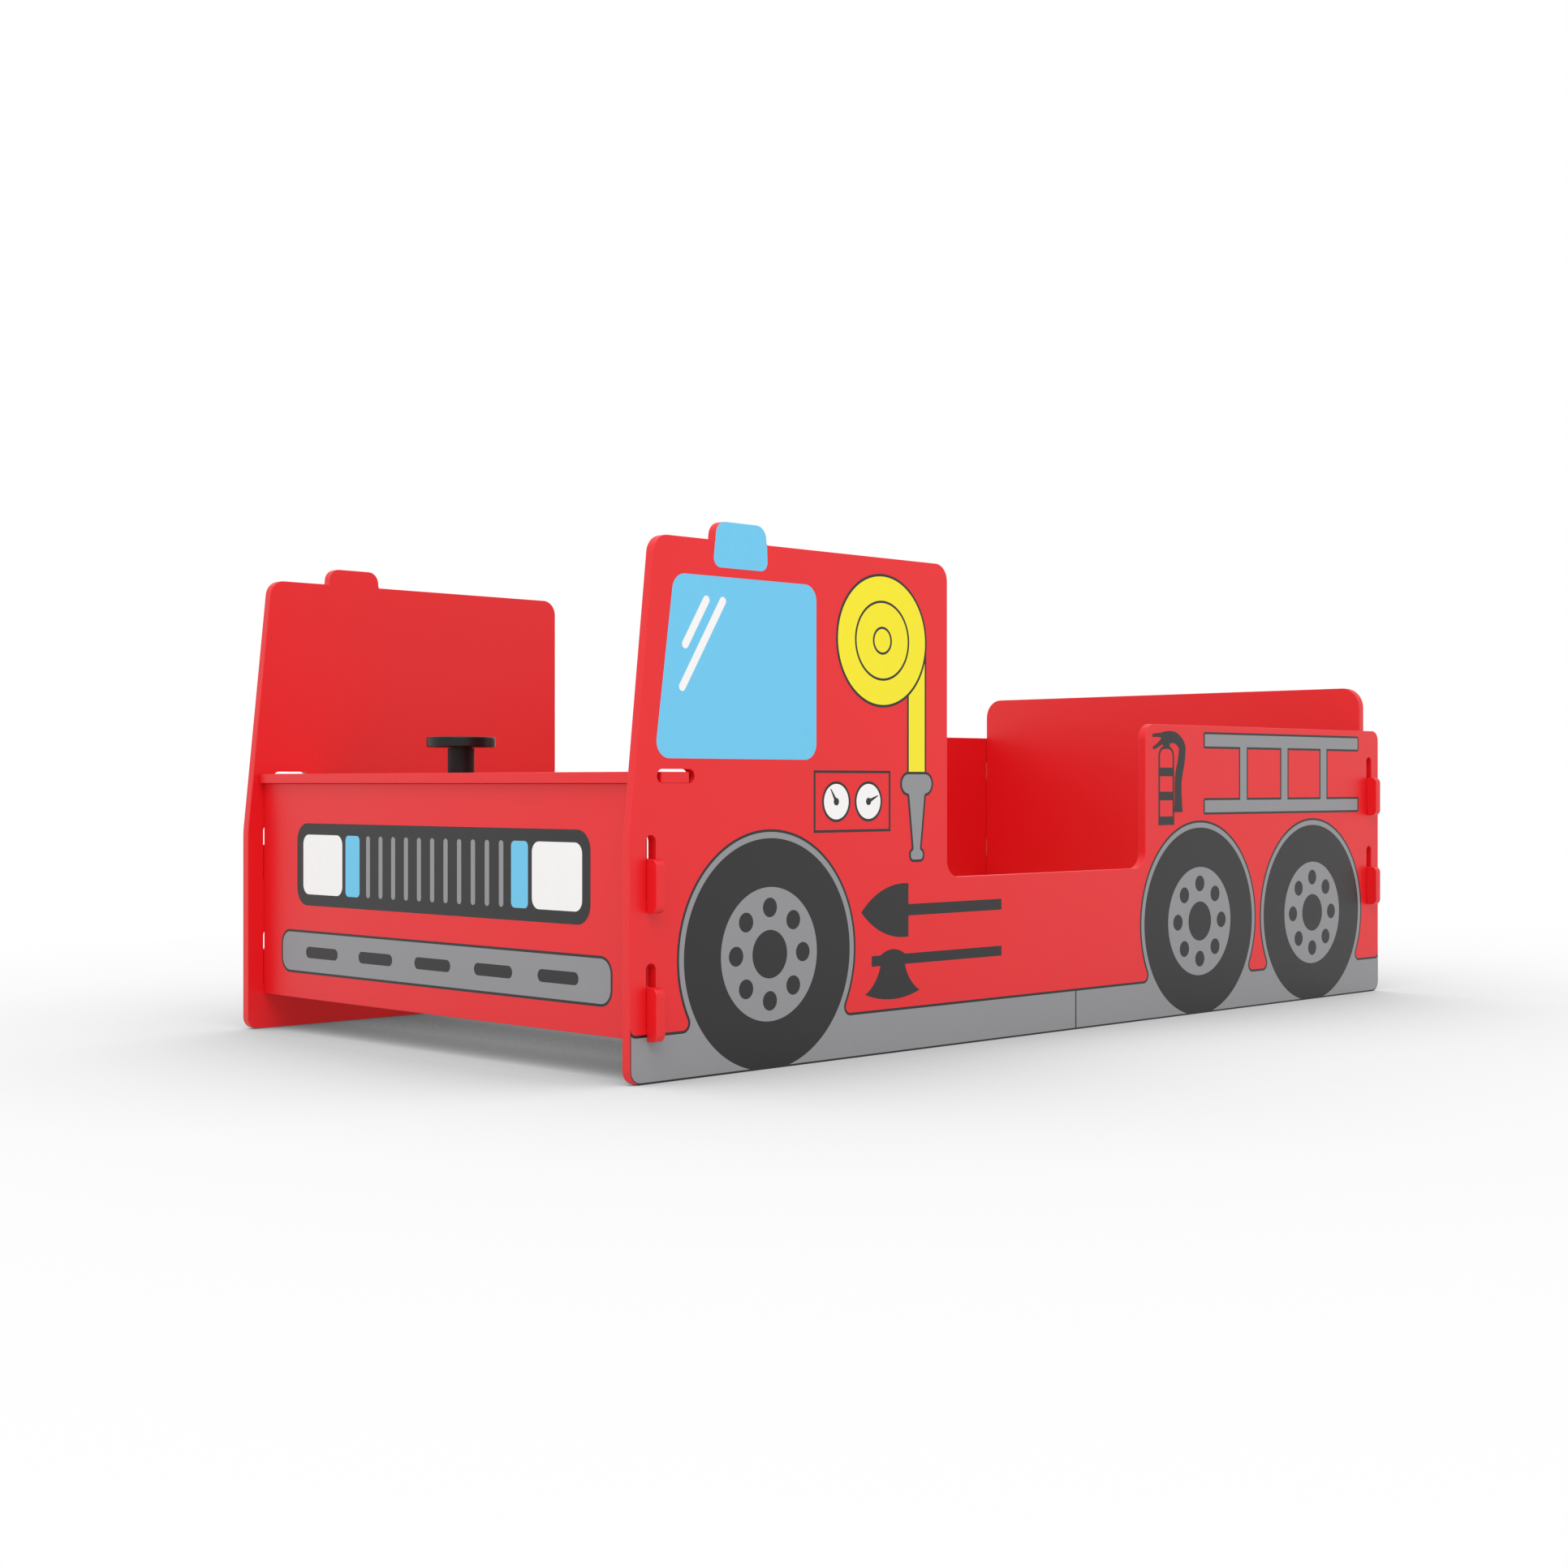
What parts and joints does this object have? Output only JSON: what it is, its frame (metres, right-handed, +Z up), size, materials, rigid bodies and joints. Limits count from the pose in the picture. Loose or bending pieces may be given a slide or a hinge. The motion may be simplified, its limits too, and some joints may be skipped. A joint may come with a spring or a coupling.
{
  "type": "toddler bed",
  "caption": "Fire engine shaped toddler bed of hooked board panels, with cab sides, entry cut-outs, a slatted deck, a dashboard shelf and a steering wheel that turns.",
  "frame": {"origin": "middle of the bed on the floor", "axes": "+Z up, +Y towards the rear panel, the engine's front faces -Y, +X towards its left side"},
  "size_m": [0.782, 1.486, 0.5915],
  "materials": {
    "red_lacquer": "satin red lacquer on board",
    "black_lacquer": "satin black lacquer on wood",
    "black_plastic": "moulded black plastic",
    "zinc_steel": "zinc plated steel",
    "black_nylon": "black nylon",
    "pine": "planed bare pine",
    "charcoal_print": "charcoal ink under satin lacquer",
    "grey_print": "grey ink under satin lacquer",
    "blue_print": "light blue ink under satin lacquer",
    "yellow_print": "yellow ink under satin lacquer",
    "white_print": "white ink under satin lacquer"
  },
  "bodies": {
    "bed_frame": {"left_side_panel": "red_lacquer", "right_side_panel": "red_lacquer", "front_panel": "red_lacquer", "rear_panel": "red_lacquer", "dashboard": "red_lacquer", "steering_column": "black_lacquer", "steering_bolt": "zinc_steel", "head_washer": "zinc_steel", "nut_washer": "zinc_steel", "lock_nut": "zinc_steel", "column_screws": "zinc_steel", "rail_screws": "zinc_steel", "slat_screws": "zinc_steel", "slip_washer": "black_nylon", "left_slat_rail": "pine", "right_slat_rail": "pine", "slat_01": "pine", "slat_02": "pine", "slat_03": "pine", "slat_04": "pine", "slat_05": "pine", "slat_06": "pine", "slat_07": "pine", "slat_08": "pine", "slat_09": "pine", "slat_10": "pine", "slat_11": "pine"},
    "steering": {"steering_wheel": "black_lacquer", "steering_wheel_cap": "black_plastic"}
  },
  "joints": [
    {"name": "steering_turn", "type": "hinge", "parent": "bed_frame", "child": "steering", "pos_m": [0, -0.679, 0.3536], "axis": [0, 0, 1], "continuous": true}
  ]
}
